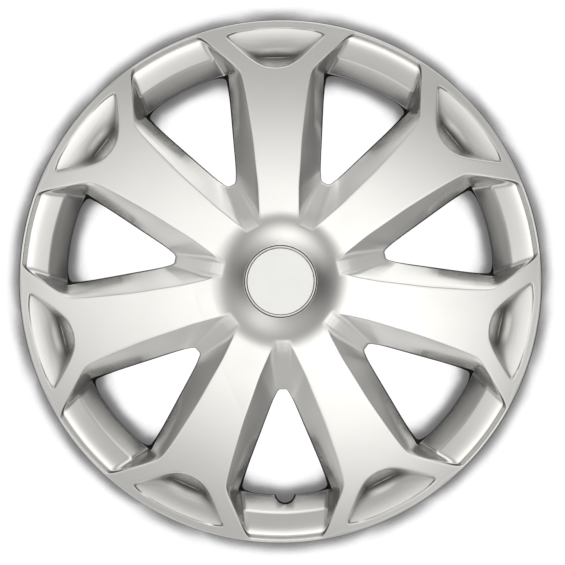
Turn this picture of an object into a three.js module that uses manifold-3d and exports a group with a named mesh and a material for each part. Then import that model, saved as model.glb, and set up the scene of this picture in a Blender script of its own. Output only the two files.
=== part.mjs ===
// Clip-on cover for a 15-inch road wheel: one moulded face with seven tapered spokes round seven
// windows, steel grip clips on the fingers at its back, a tension ring and a plug-in centre cap.
// Lengths are millimetres. Everything is drawn with +z pointing outboard, away from the wheel, and
// +y up; the last lines turn the whole cover so that outboard is -Y and up is +Z.
import * as THREE from 'three';
import { mergeVertices } from 'three/addons/utils/BufferGeometryUtils.js';
import Module from 'manifold-3d';

const wasm = await Module();
wasm.setup();

// ---- Driving dimensions -------------------------------------------------------------------
const SPOKES = 7;
const SECTOR = (2 * Math.PI) / SPOKES;
const SPOKE_UP = Math.PI / 2;                 // one spoke points straight up
const WINDOW_DOWN = -Math.PI / 2;             // so one window is straight below the hub
const GAP = 0.3;                              // clearance between pieces that touch

const RIM_RADIUS = 202.5;
const WALL = 2.6;                             // thickness of the moulding
const ROUND_STEPS = 56;                       // facets round the full circle
const FAR_BELOW = -45;                        // deeper than anything on the back
const FAR_ABOVE = 70;

// The crown of the spokes falls away from the middle as a power of the radius.
const CROWN_HEIGHT = 36;
const CROWN_DROP = 23;
const CROWN_POWER = 2.6;
const CROWN_EDGE = 196.5;                     // radius where the full drop is reached
const BOSS_RISE = 12.5;                       // the hub flares up from the crown
const BOSS_FOOT = 55;
const BOSS_TOP = 28.3;
const SKIRT_TOP = 9.2;                        // height of the straight part of the outer skirt
const SEAT_WIDTH = 4.2;                       // flat ring that lies on the rim flange
const SEAT_HEIGHT = 2;

// Edge of the through holes: it rises from the rim end of a window to the hub end.
const HOLE_HUB_END = 83;
const HOLE_RIM_END = 166;
const HOLE_HUB_HEIGHT = 25;
const HOLE_RIM_HEIGHT = -2;

// Centre cap and its seat in the hub.
const CAP_RADIUS = 27.5;
const CAP_TOP = 48.4;
const CAP_SEAT = 44.2;
const PLUG_RADIUS = 20.3;
const PLUG_WALL = 2.4;
const PLUG_DEPTH = 13;
const LEG_SLOT = 7;
const TUBE_END = 28.6;                        // inner end of the tube that takes the cap's legs
const BADGE_RADIUS = 25.3;
const BADGE_THICK = 1.2;
const GLUE_RADIUS = 23;
const GLUE_THICK = 0.6;

// Retention: fingers on the back, the wire ring that they hold and the clips on their tips.
const FINGER_ANGLE = THREE.MathUtils.degToRad(8.5);   // either side of each spoke's axis
const FINGER_WIDTH = 12;
const CLIP_WIDTH = 10;
const CLIP_THICK = 0.7;
const RING_RADIUS = 176;
const RING_HEIGHT = -12;
const WIRE_RADIUS = 1.8;
const SLEEVE_RADIUS = 3.2;
const SLEEVE_LENGTH = 22;
const SLEEVE_ANGLE = SPOKE_UP + SECTOR / 2;   // between two fingers, behind a window's band
const VALVE_NOTCH_RADIUS = 9.8;
const VALVE_NOTCH_AT = 162.6;                 // its centre, below the hub

// ---- Solids -------------------------------------------------------------------------------
function welded(geometry) {
  const plain = geometry.clone();
  plain.deleteAttribute('normal');
  plain.deleteAttribute('uv');
  return mergeVertices(plain, 1e-4);
}

function signedVolume(geometry) {
  const corners = geometry.toNonIndexed().getAttribute('position');
  const [a, b, c] = [new THREE.Vector3(), new THREE.Vector3(), new THREE.Vector3()];
  let sum = 0;
  for (let i = 0; i < corners.count; i += 3) {
    a.fromBufferAttribute(corners, i);
    b.fromBufferAttribute(corners, i + 1);
    c.fromBufferAttribute(corners, i + 2);
    sum += a.dot(b.cross(c)) / 6;
  }
  return sum;
}

// A manifold solid from a closed geometry, with its faces turned to point out.
function solid(geometry) {
  const closed = welded(geometry);
  const triVerts = new Uint32Array(closed.getIndex().array);
  if (signedVolume(closed) < 0) {
    for (let i = 0; i < triVerts.length; i += 3) {
      [triVerts[i], triVerts[i + 1]] = [triVerts[i + 1], triVerts[i]];
    }
  }
  const vertProperties = new Float32Array(closed.getAttribute('position').array);
  return new wasm.Manifold(new wasm.Mesh({ numProp: 3, vertProperties, triVerts }));
}

function geometryOf(body) {
  const { vertProperties, triVerts } = body.getMesh();
  const geometry = new THREE.BufferGeometry();
  geometry.setAttribute('position', new THREE.BufferAttribute(vertProperties, 3));
  geometry.setIndex(new THREE.BufferAttribute(triVerts, 1));
  return geometry;
}

const joined = (bodies) => bodies.reduce((sum, body) => sum.add(body));

// Moves every vertex along its normal, away from the space that the geometry fills.
function swollen(geometry, distance) {
  const closed = welded(geometry);
  const sign = signedVolume(closed) < 0 ? -1 : 1;
  closed.computeVertexNormals();
  const position = closed.getAttribute('position');
  const normal = closed.getAttribute('normal');
  const [point, away] = [new THREE.Vector3(), new THREE.Vector3()];
  for (let i = 0; i < position.count; i += 1) {
    point.fromBufferAttribute(position, i);
    away.fromBufferAttribute(normal, i);
    point.addScaledVector(away, sign * distance);
    position.setXYZ(i, point.x, point.y, point.z);
  }
  return closed;
}

// Turns a profile of [radius, height] pairs about the axis of the wheel.
function turned(profile, steps = ROUND_STEPS) {
  const points = profile.map(([radius, height]) => new THREE.Vector2(radius, height));
  return new THREE.LatheGeometry(points, steps).rotateX(Math.PI / 2);
}

const ringProfile = (inner, outer, low, high) => [
  [inner, low], [outer, low], [outer, high], [inner, high], [inner, low],
];

// Skins a stack of matching loops of points and closes both ends with fans.
function loft(loops) {
  const count = loops[0].length;
  const points = loops.flat();
  const index = [];
  for (let level = 0; level + 1 < loops.length; level += 1) {
    for (let i = 0; i < count; i += 1) {
      const next = (i + 1) % count;
      const [a, b] = [level * count + i, level * count + next];
      index.push(a, b, b + count, a, b + count, a + count);
    }
  }
  for (const [level, flip] of [[0, true], [loops.length - 1, false]]) {
    const middle = loops[level].reduce((sum, p) => sum.add(p), new THREE.Vector3());
    points.push(middle.divideScalar(count));
    const hub = points.length - 1;
    for (let i = 0; i < count; i += 1) {
      const [a, b] = [level * count + i, level * count + ((i + 1) % count)];
      index.push(...(flip ? [hub, b, a] : [hub, a, b]));
    }
  }
  const geometry = new THREE.BufferGeometry().setFromPoints(points);
  geometry.setIndex(index);
  return geometry;
}

// ---- The surface of the face --------------------------------------------------------------
function crownHeight(radius) {
  const crown = CROWN_HEIGHT - CROWN_DROP * (radius / CROWN_EDGE) ** CROWN_POWER;
  const flare = THREE.MathUtils.clamp((BOSS_FOOT - radius) / (BOSS_FOOT - BOSS_TOP), 0, 1);
  return crown + BOSS_RISE * flare ** 2;
}

function holeHeight(radius) {
  const outward = (radius - HOLE_HUB_END) / (HOLE_RIM_END - HOLE_HUB_END);
  return THREE.MathUtils.lerp(HOLE_HUB_HEIGHT, HOLE_RIM_HEIGHT, outward);
}

const CROWN_RADII = [200.3, 178, 142, 100, 70, 55, 48, 41, 34, CAP_RADIUS + GAP];

// The face as a full block: crown, boss and rolled outer edge, with the well and the bore for the
// centre cap, solid down to FAR_BELOW.
function faceBlock() {
  const bore = PLUG_RADIUS + GAP;
  const crown = CROWN_RADII.map((radius) => [radius, crownHeight(radius)]);
  return turned([
    [bore, FAR_BELOW], [RIM_RADIUS, FAR_BELOW], [RIM_RADIUS, SKIRT_TOP], [201.9, 10.9],
    ...crown, [CAP_RADIUS + GAP, CAP_SEAT], [bore, CAP_SEAT], [bore, FAR_BELOW],
  ]);
}

// The hollow behind the face, one wall thickness in from it, between the rim seat and the tube
// that takes the cap's legs.
function faceHollow() {
  const tube = PLUG_RADIUS + GAP + WALL;
  const well = CAP_RADIUS + GAP + WALL;
  const seat = RIM_RADIUS - SEAT_WIDTH;
  const crown = CROWN_RADII.filter((radius) => radius > well && radius < seat).map((radius) => {
    const slope = crownHeight(radius - 0.5) - crownHeight(radius + 0.5);
    return [radius, crownHeight(radius) - WALL * Math.hypot(1, slope)];
  });
  return turned([
    [tube, FAR_BELOW], [seat, FAR_BELOW], [seat, SEAT_HEIGHT],
    [RIM_RADIUS - WALL, SEAT_HEIGHT], [RIM_RADIUS - WALL, SKIRT_TOP - 1], ...crown,
    [well, crownHeight(well) - WALL * 1.3], [well, CAP_SEAT - WALL], [tube, CAP_SEAT - WALL],
    [tube, FAR_BELOW],
  ]);
}

// One half of a window, from the hub end round to the rim end, as [across, outward] pairs. Each
// column runs down one line of the wall from `top`, on the crown, to `foot`, on the hole's edge.
// `sink` is how deep the wall has gone, as a share, where it bends towards the hole.
const WINDOW_COLUMNS = [
  { top: [0, 44.7], foot: [0, 82.8], sink: 0.61 },
  { top: [4.6, 44.7], foot: [2.5, 82.8], sink: 0.61 },
  { top: [5.4, 46.6], foot: [3.6, 83.2], sink: 0.63 },
  { top: [13, 60.6], foot: [5, 85.2], sink: 0.7 },
  { top: [22, 84], foot: [9, 93.2], sink: 0.75 },
  { top: [34.5, 117], foot: [20.6, 121.6], sink: 0.75 },
  { top: [44, 148], foot: [32, 149.6], sink: 0.75 },
  { top: [45.6, 156], foot: [34.8, 156.4], sink: 0.75 },
  { top: [44.2, 162.4], foot: [36, 160.2], sink: 0.7 },
  { top: [33.8, 190.6], foot: [35.2, 162.2], sink: 0.54 },
  { top: [30.6, 196.3], foot: [33.6, 162.7], sink: 0.46 },
  { top: [25.5, 198.7], foot: [29, 163.5], sink: 0.46 },
  { top: [13, 199.9], foot: [14.5, 165.4], sink: 0.46 },
  { top: [0, 200.3], foot: [0, 166], sink: 0.46 },
];
const BEND = 0.606;                           // share of the wall's width where it bends
const CLEAR_OF_CROWN = 4;                     // how far the cutting walls run past the crown

// One half of the pocket in a spoke's outer end: `top` on the crown, `floor` on the pocket's floor.
const POCKET_COLUMNS = [
  { top: [0, 196.9], floor: [0, 195.6] },
  { top: [20, 195.9], floor: [19.8, 194.6] },
  { top: [39.4, 190.9], floor: [37.4, 189.9] },
  { top: [27.8, 179.8], floor: [26.2, 180.8] },
  { top: [15.9, 169.4], floor: [15.2, 173] },
  { top: [7.7, 165.4], floor: [7.6, 173] },
  { top: [0, 164.4], floor: [0, 173] },
];
const POCKET_CREASE = 173;                    // where the floor meets the inner wall
const POCKET_LOW = 12;
const POCKET_RISE = 0.4;                      // the floor is this much higher at its outer edge
const POCKET_LENGTH = 23;

// Both halves of an outline, the second mirrored, as one loop.
function bothHalves(columns) {
  const mirrored = columns.slice(1, -1).reverse();
  return [
    ...columns.map((column) => ({ column, side: 1 })),
    ...mirrored.map((column) => ({ column, side: -1 })),
  ];
}

// Places an [across, outward] point, seen along an axis at the given angle, at a height.
function placed(angle, side, [across, outward], height) {
  const [c, s] = [Math.cos(angle), Math.sin(angle)];
  return new THREE.Vector3(
    outward * c + side * across * s,
    outward * s - side * across * c,
    height,
  );
}

const between = ([a, b], [c, d], t) => [a + (c - a) * t, b + (d - b) * t];

// Carries a wall on in a straight line past its upper loop, clear of the crown.
function runOn(lower, upper) {
  return upper.map((point, i) => {
    const along = point.clone().sub(lower[i]);
    return point.clone().addScaledVector(along, CLEAR_OF_CROWN / along.z);
  });
}

const atHeight = (loop, height) => loop.map((p) => new THREE.Vector3(p.x, p.y, height));

// The space of one window, open past the crown and straight down below the hole's edge.
function windowSpace(angle) {
  const level = (share, depth) => bothHalves(WINDOW_COLUMNS).map(({ column, side }) => {
    const high = crownHeight(Math.hypot(...column.top));
    const low = holeHeight(Math.hypot(...column.foot));
    const height = THREE.MathUtils.lerp(high, low, depth(column));
    return placed(angle, side, between(column.top, column.foot, share), height);
  });
  const foot = level(1, () => 1);
  const bend = level(BEND, (column) => column.sink);
  const crown = level(0, () => 0);
  return loft([atHeight(foot, FAR_BELOW - WALL), foot, bend, runOn(bend, crown)]);
}

function pocketSpace(angle) {
  const floorHeight = ([, outward]) => (
    POCKET_LOW + (POCKET_RISE * (outward - POCKET_CREASE)) / POCKET_LENGTH
  );
  const loop = bothHalves(POCKET_COLUMNS);
  const floor = loop.map(({ column, side }) => (
    placed(angle, side, column.floor, floorHeight(column.floor))
  ));
  const crown = loop.map(({ column, side }) => (
    placed(angle, side, column.top, crownHeight(Math.hypot(...column.top)))
  ));
  return loft([floor, runOn(floor, crown)]);
}

const spokeAngles = Array.from({ length: SPOKES }, (_, i) => SPOKE_UP + i * SECTOR);
const windowAngles = spokeAngles.map((angle) => angle + SECTOR / 2);

// ---- Pieces of the face -------------------------------------------------------------------
// A (radius, height) outline drawn out to `width`, centred on the line from the axis at an angle.
function acrossRadius(outline, width, angle) {
  const shape = new THREE.Shape(outline.map(([radius, height]) => new THREE.Vector2(radius, height)));
  const geometry = new THREE.ExtrudeGeometry(shape, { depth: width, bevelEnabled: false });
  geometry.translate(0, 0, -width / 2).rotateX(Math.PI / 2).rotateZ(angle);
  return geometry;
}

const fingerAngles = spokeAngles.flatMap((angle) => [angle - FINGER_ANGLE, angle + FINGER_ANGLE]);

// A springy finger on the back: wide at its root, with a slim tip that takes a steel clip.
const FINGER_OUTLINE = [
  [171.4, 30], [171.4, 0], [172.6, -4], [172.6, -15], [174, -15.4], [174, -19.4],
  [174.6, -20], [178.6, -20], [179.2, -19.4], [180.2, 0], [182.6, 14], [182.6, 30],
];

// Round seat for the wire, entered from the inside past two lips a little closer than the wire.
function wireSlot() {
  const seat = WIRE_RADIUS + GAP;
  const mouth = WIRE_RADIUS - 0.05;
  const lip = Math.sqrt(seat ** 2 - mouth ** 2);
  const start = Math.PI - Math.asin(mouth / seat);
  const arc = Array.from({ length: 8 }, (_, i) => {
    const turn = start - (2 * start * i) / 7;
    return [RING_RADIUS + seat * Math.cos(turn), RING_HEIGHT + seat * Math.sin(turn)];
  });
  const inside = RING_RADIUS - lip - 6;
  return turned([
    [inside, RING_HEIGHT + mouth], ...arc, [inside, RING_HEIGHT - mouth],
    [inside, RING_HEIGHT + mouth],
  ], SPOKES * 16);
}

function coverFace() {
  const spacesCut = [...windowAngles.map(windowSpace), ...spokeAngles.map(pocketSpace)];
  const outside = solid(faceBlock()).subtract(joined(spacesCut.map(solid)));
  const behind = joined(spacesCut.map((space) => solid(swollen(space, WALL))));
  const hollow = solid(faceHollow()).subtract(behind);
  const edge = HOLE_RIM_HEIGHT - WALL;
  const tube = PLUG_RADIUS + GAP + WALL + 1;
  const backLimit = solid(turned([
    [0, TUBE_END], [tube, TUBE_END], [tube, HOLE_HUB_HEIGHT - WALL],
    [HOLE_HUB_END, HOLE_HUB_HEIGHT - WALL], [HOLE_RIM_END, edge],
    [RIM_RADIUS - SEAT_WIDTH - 2, edge], [RIM_RADIUS - SEAT_WIDTH, 0], [RIM_RADIUS + 1, 0],
    [RIM_RADIUS + 1, FAR_ABOVE], [0, FAR_ABOVE],
  ]));
  const shell = outside.subtract(hollow).intersect(backLimit);
  const fingers = joined(fingerAngles.map((angle) => (
    solid(acrossRadius(FINGER_OUTLINE, FINGER_WIDTH, angle))
  )));
  const valve = new THREE.CylinderGeometry(VALVE_NOTCH_RADIUS, VALVE_NOTCH_RADIUS, 60, 24);
  valve.rotateX(Math.PI / 2).translate(0, -VALVE_NOTCH_AT, 0);
  return geometryOf(
    shell
      .add(fingers.intersect(outside).subtract(solid(wireSlot())))
      .subtract(solid(valve)),
  );
}

// ---- The other pieces ---------------------------------------------------------------------
// The outline of a bent strip from the line along its middle, mitred at each bend.
function stripOutline(line, thickness) {
  const points = line.map(([x, y]) => new THREE.Vector2(x, y));
  const side = (sign) => points.map((point, i) => {
    const before = points[Math.max(i - 1, 0)];
    const after = points[Math.min(i + 1, points.length - 1)];
    const into = point.clone().sub(before).normalize();
    const out = after.clone().sub(point).normalize();
    const along = (i === 0 ? out : into).clone().add(i === points.length - 1 ? into : out);
    along.normalize();
    const leg = i === 0 ? out : into;
    const reach = (sign * thickness) / 2 / along.dot(leg);
    return [point.x - along.y * reach, point.y + along.x * reach];
  });
  return [...side(1), ...side(-1).reverse()];
}

// Spring-steel clip over a fingertip: a short inner leg and an outer leaf that bulges outward.
const CLIP_LINE = [
  [173.3, -15.8], [173.3, -20.3], [173.8, -20.75], [180.2, -20.75], [181.6, -20],
  [186.4, -14.4], [186.9, -12.8], [186.3, -11.4], [183.8, -8.4],
];

function gripClip(angle) {
  return welded(acrossRadius(stripOutline(CLIP_LINE, CLIP_THICK), CLIP_WIDTH, angle));
}

// Sweeps a section along part of the ring's circle.
function alongRing(section, from, to, steps) {
  const points = Array.from({ length: steps + 1 }, (_, i) => {
    const angle = THREE.MathUtils.lerp(from, to, i / steps);
    return new THREE.Vector3(
      RING_RADIUS * Math.cos(angle), RING_RADIUS * Math.sin(angle), RING_HEIGHT,
    );
  });
  const path = new THREE.CatmullRomCurve3(points);
  const geometry = new THREE.ExtrudeGeometry(section, { steps, extrudePath: path, bevelEnabled: false });
  return geometryOf(solid(geometry));
}

function roundSection(radius, sides) {
  return new THREE.Shape(Array.from({ length: sides }, (_, i) => {
    const turn = (2 * Math.PI * i) / sides;
    return new THREE.Vector2(radius * Math.cos(turn), radius * Math.sin(turn));
  }));
}

const WIRE_END = 0.5 / RING_RADIUS;           // half the small gap between the wire's two ends

function tensionRing() {
  const from = SLEEVE_ANGLE + WIRE_END;
  return alongRing(roundSection(WIRE_RADIUS, 8), from, from + 2 * (Math.PI - WIRE_END), 112);
}

function ringSleeve() {
  const half = SLEEVE_LENGTH / 2 / RING_RADIUS;
  const section = roundSection(SLEEVE_RADIUS, 16);
  section.holes.push(roundSection(WIRE_RADIUS + GAP, 12));
  return alongRing(section, SLEEVE_ANGLE - half, SLEEVE_ANGLE + half, 6);
}

// Plate with a raised rim round a shallow well for the badge, and four legs that plug in.
function centreCap() {
  const plateLow = CAP_SEAT + GAP;
  const wellFloor = CAP_TOP - BADGE_THICK - GLUE_THICK - 3 * GAP;
  const well = BADGE_RADIUS + GAP;
  const plate = solid(turned([
    [0, plateLow], [CAP_RADIUS, plateLow], [CAP_RADIUS, CAP_TOP - 0.6],
    [CAP_RADIUS - 0.6, CAP_TOP], [well, CAP_TOP], [well, wellFloor], [0, wellFloor],
  ]));
  const legsLow = plateLow - PLUG_DEPTH;
  const tube = turned(
    ringProfile(PLUG_RADIUS - PLUG_WALL, PLUG_RADIUS, legsLow, plateLow + 0.5), 32,
  );
  const slot = (turn) => solid(
    new THREE.BoxGeometry(4 * PLUG_RADIUS, LEG_SLOT, PLUG_DEPTH - 2)
      .translate(0, 0, legsLow + (PLUG_DEPTH - 2) / 2 - 0.5).rotateZ(turn),
  );
  const legs = solid(tube).subtract(slot(Math.PI / 4)).subtract(slot(-Math.PI / 4));
  return geometryOf(plate.add(legs));
}

function badgeDisc() {
  const top = CAP_TOP - GAP;
  const low = top - BADGE_THICK;
  return turned([
    [0, low], [BADGE_RADIUS, low], [BADGE_RADIUS, top - 0.3], [BADGE_RADIUS - 0.3, top], [0, top],
  ]);
}

function badgeGlue() {
  const top = CAP_TOP - BADGE_THICK - 2 * GAP;
  return turned([[0, top - GLUE_THICK], [GLUE_RADIUS, top - GLUE_THICK], [GLUE_RADIUS, top], [0, top]], 32);
}

// ---- Materials and assembly ---------------------------------------------------------------
const material = (color, roughness, metalness) => (
  new THREE.MeshStandardMaterial({ color, roughness, metalness })
);
const silverPaint = () => material(0xc9c8c5, 0.35, 0.6);
const springSteel = () => material(0x8e9092, 0.35, 1);
const zincWire = () => material(0xb4b6b8, 0.4, 1);
const palePlate = () => material(0xeeedeb, 0.3, 0.2);
const blackTape = () => material(0x2a2a2a, 0.9, 0);

const cover = new THREE.Group();

function addPiece(name, geometry, look) {
  const mesh = new THREE.Mesh(welded(geometry), look);
  mesh.name = name;
  cover.add(mesh);
}

addPiece('cover_face', coverFace(), silverPaint());
fingerAngles.forEach((angle, i) => {
  addPiece(`grip_clip_${String(i + 1).padStart(2, '0')}`, gripClip(angle), springSteel());
});
addPiece('tension_ring', tensionRing(), zincWire());
addPiece('ring_sleeve', ringSleeve(), zincWire());
addPiece('centre_cap', centreCap(), silverPaint());
addPiece('badge_disc', badgeDisc(), palePlate());
addPiece('badge_glue', badgeGlue(), blackTape());

cover.rotation.x = Math.PI / 2;               // outboard +z becomes -Y, and up +y becomes +Z

export default cover;
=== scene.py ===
"""Wheel cover: smooth painted face, raw moulded back, sprung clips, wire ring and centre cap.

Lengths in this script are millimetres until a mesh is made, and metres after that. A point on the
face is (across, outward, height): height is measured outboard, from the plane of the rim seat.
"""
import math

import bmesh
import bpy
from mathutils import Matrix, Vector
from mathutils.bvhtree import BVHTree


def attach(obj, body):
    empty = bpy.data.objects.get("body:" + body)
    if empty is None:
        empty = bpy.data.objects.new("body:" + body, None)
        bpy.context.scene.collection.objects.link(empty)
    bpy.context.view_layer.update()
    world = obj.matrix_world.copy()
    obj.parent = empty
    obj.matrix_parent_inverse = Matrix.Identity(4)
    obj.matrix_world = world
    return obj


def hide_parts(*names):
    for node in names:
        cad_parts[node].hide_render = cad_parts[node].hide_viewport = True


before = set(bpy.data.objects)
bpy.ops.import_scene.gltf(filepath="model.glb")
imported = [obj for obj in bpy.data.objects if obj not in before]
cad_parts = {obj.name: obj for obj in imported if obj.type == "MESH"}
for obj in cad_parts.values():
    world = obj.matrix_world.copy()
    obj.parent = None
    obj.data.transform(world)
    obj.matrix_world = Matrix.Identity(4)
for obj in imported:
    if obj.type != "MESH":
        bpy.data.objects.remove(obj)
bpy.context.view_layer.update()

# ---- Driving dimensions ----------------------------------------------------------------------
# They are the CAD model's, except that the hole's rim end lies 1.5 mm deeper.
SPOKES = 7
SECTOR = 2 * math.pi / SPOKES
HALF = SECTOR / 2
SPOKE_UP = math.pi / 2
WALL = 2.6
CROWN_HEIGHT = 36
CROWN_DROP = 23
CROWN_POWER = 2.6
CROWN_EDGE = 196.5
BOSS_RISE = 12.5
BOSS_FOOT = 55
BOSS_TOP = 28.3
HOLE_HUB_END = 83
HOLE_RIM_END = 166
HOLE_HUB_HEIGHT = 25
HOLE_RIM_HEIGHT = -3.5


# ---- Heights of the face ----------------------------------------------------------------------
def crown_height(radius):
    crown = CROWN_HEIGHT - CROWN_DROP * (radius / CROWN_EDGE) ** CROWN_POWER
    flare = min(max((BOSS_FOOT - radius) / (BOSS_FOOT - BOSS_TOP), 0), 1)
    return crown + BOSS_RISE * flare ** 2


def crown_slope(radius):
    """How far the crown falls over the millimetre round this radius."""
    return crown_height(radius - 0.5) - crown_height(radius + 0.5)


def under_crown(radius):
    return crown_height(radius) - WALL * math.hypot(1, crown_slope(radius))


def hole_height(radius):
    t = (radius - HOLE_HUB_END) / (HOLE_RIM_END - HOLE_HUB_END)
    return HOLE_HUB_HEIGHT + (HOLE_RIM_HEIGHT - HOLE_HUB_HEIGHT) * t


# ---- Smooth rows of points --------------------------------------------------------------------
def bend(before, corner, after, reach, steps):
    """Points of a quadratic curve that rounds a corner, from `reach` of the way to each side."""
    start = corner.lerp(before, reach)
    end = corner.lerp(after, reach)
    points = []
    for k in range(steps + 1):
        t = k / steps
        points.append(start.lerp(corner, t).lerp(corner.lerp(end, t), t))
    return points


def rounded(points, reaches, steps):
    """Rounds every corner of a row of points. A reach of 0.5 at each one makes a smooth curve.

    Where two curves share a middle point, it is kept once, so rows made from the same reaches
    and steps have the same number of points.
    """
    row = []
    for i, point in enumerate(points):
        if i in (0, len(points) - 1) or steps[i] == 0:
            piece = [point]
        else:
            piece = bend(points[i - 1], point, points[i + 1], reaches[i], steps[i])
        meets = i and steps[i] and steps[i - 1] and reaches[i] + reaches[i - 1] > 0.999
        row.extend(piece[1:] if meets else piece)
    return row


# ---- The outline of a window and of a pocket --------------------------------------------------
# A station is one line of the face. It starts on the edge of a window's through hole, at `foot`,
# climbs the wall to `top` on the crown and runs over the crown to `out`: a place on the hub's well
# ("hub", share of the half sector), on the spoke's axis ("spoke", radius) or on the edge of the
# pocket ("pocket", index). `reach` and `steps` say how the outline is rounded at the station.
# Points are (across, outward), seen along the window's own axis.
class Station:
    def __init__(self, top, foot, wall, land, out, reach, steps):
        self.top = Vector(top)
        self.foot = Vector(foot)
        self.wall = wall
        self.land = land
        self.out = out
        self.reach = reach
        self.steps = steps


SOFT = 0.46
CRISP = 0.09
STATIONS = [
    Station((0, 44.7), (0, 82.8), "valley", 0.3, ("hub", 0), 0, 0),
    Station((4.6, 44.7), (2.5, 82.8), "valley", 0.3, ("hub", 0.25), CRISP, 4),
    Station((8.8, 52.8), (4.2, 84), "root", 0.35, ("hub", 0.6), SOFT, 4),
    Station((12.85, 61.76), (5.9, 87.1), "root", 0.4, ("hub", 1), 0, 0),
    Station((15.3, 67.2), (6.9, 88.9), "root", 0.42, ("spoke", 36), SOFT, 4),
    Station((17.8, 72.7), (8, 91), "root", 0.45, ("spoke", 50), SOFT, 4),
    Station((24.1, 89.3), (11.8, 100), "flank", 0.5, ("spoke", 72), SOFT, 4),
    Station((30.6, 106), (17.2, 113.4), "flank", 0.6, ("spoke", 95), SOFT, 4),
    Station((36.6, 124), (23.4, 128.6), "side", 0.7, ("spoke", 118), SOFT, 4),
    Station((41.4, 139.5), (28.8, 141.9), "side", 0.8, ("spoke", 140), SOFT, 4),
    Station((44.4, 150.8), (32.6, 151.2), "side", 1.4, ("pocket", 0), 0, 0),
    Station((45.8, 158.2), (35.6, 157.8), "side", 2.6, ("pocket", 1), SOFT, 6),
    Station((43.5, 165.6), (36.9, 160.9), "side", 4.6, ("pocket", 2), SOFT, 4),
    Station((37.6, 179), (36.2, 162), "side", 5.0, ("pocket", 3), SOFT, 4),
    Station((29.8, 198.1), (34.4, 162.4), "band", 3.0, ("pocket", 4), SOFT, 6),
    Station((23.4, 198.95), (27, 163.8), "band", 0.3, None, SOFT, 4),
    Station((12, 199.95), (14, 165.4), "band", 0.1, None, SOFT, 4),
    Station((0, 200.3), (0, 166), "band", 0.1, None, 0, 0),
]
LAST_ON_HUB = 3
FIRST_ON_POCKET = 10
LIP_CORNER = 14
WINDOW_MIDDLE = 130

# The wall's section, from the hole's edge (share 1) to the crown (share 0), and how deep it has
# gone at each share: a shallow valley, a root that flattens to a ledge beside it, flanks and sides
# that grow steeper towards the hole, and a band with a lip.
SHARES = (1, 0.606, 0.3, 0.184, 0.1, 0.055, 0)
DEPTHS = {
    "valley": (1, 0.56, 0.22, 0.12, 0.06, 0.03, 0),
    "root": (1, 0.61, 0.31, 0.2, 0.115, 0.065, 0),
    "flank": (1, 0.56, 0.26, 0.155, 0.083, 0.045, 0),
    "side": (1, 0.46, 0.19, 0.11, 0.055, 0.03, 0),
    "band": (1, 0.288, 0.065, 0.013, 0.005, 0.125, 0),
}
# The flanks and sides go no deeper than this below the crown; the others reach the hole's edge.
DEEPEST = {"flank": 12, "side": 13}
# How each node of the section is rounded: its reach on a plain wall and on a band, and its steps.
LEVEL_REACH = {"side": (0.12, SOFT, SOFT, SOFT, SOFT, SOFT, SOFT),
               "band": (0.12, 0.12, SOFT, 0.3, 0.25, 0.12, SOFT)}
LEVEL_STEPS = (2, 4, 3, 2, 3, 3, 4)
CROWN_EDGE_WIDTH = 2.2
BAND_EDGE_WIDTH = 0.9
CROWN_ROWS = 13
# A vertex this near to the crown's height counts as on it.
ON_CROWN = 0.01

# The pocket in a spoke's outer end: `edge` on the crown, `floor` round the foot of its wall and
# `spine` on the spoke's axis. Points are (across, outward), seen along the spoke's axis.
POCKET = [
    ((0, 165), (0, 173.6), 176.2),
    ((8.6, 165.9), (12.4, 173.7), 177.5),
    ((17.2, 170.6), (16.8, 175), 179.5),
    ((27.8, 179.8), (26.6, 181.4), 182.5),
    ((39.4, 190.6), (37.2, 190.2), 187.5),
    ((29, 194.3), (28.4, 193.2), 190.3),
    ((14.5, 195.95), (14.2, 194.8), 192.4),
    ((0, 196.5), (0, 195.3), 193.6),
]
POCKET_MIDDLE = 182
POCKET_TIP_REACH = 0.25
POCKET_REACH = (SOFT, 0.2, SOFT)
POCKET_STEPS = (4, 5, 0)
POCKET_ROWS = 6
POCKET_EDGE_SHARE = 0.08
POCKET_EDGE_DROP = 0.1
POCKET_WALL_REACH = (0, SOFT, 0, 0.07, 0)
POCKET_WALL_STEPS = (0, 4, 0, 3, 0)
# The floor is a bowl: deepest at the crease, in the middle, and flattening as it rises to the lip.
FLOOR_CREASE = 174
FLOOR_LIP = 196.5
FLOOR_SHELF = 12.9
FLOOR_SLOPE = 0.16
FLOOR_CURVE = 0.0065
FLOOR_BOWL = 3.9
BOWL_LENGTH = 4.5
BOWL_WIDTH = 18

# The back: how far a wall's back leans, and where the back of the crown ends.
LEAN = {"valley": 0.3, "root": 0.5, "flank": 0.7, "side": 0.85, "band": 0.35}
BACK_LEVELS = (0, 1, 2)
BACK_REACH = (0, 0.2, SOFT, SOFT, 0)
BACK_STEPS = (0, 2, 3, 2, 0)
BACK_SHIFT = 1.12
BAND_BACK_SHIFT = 0.22
BAND_BACK_DROP = 3.2
WINDOW_BACK_END = 199.2
POCKET_BACK_END = 199
POCKET_BACK_SHARE = 0.8
POCKET_BACK_DROP = 0.2
POCKET_BACK_REACH = (0, 0.25, 0)
POCKET_BACK_STEPS = (0, 2, 0)

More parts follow.
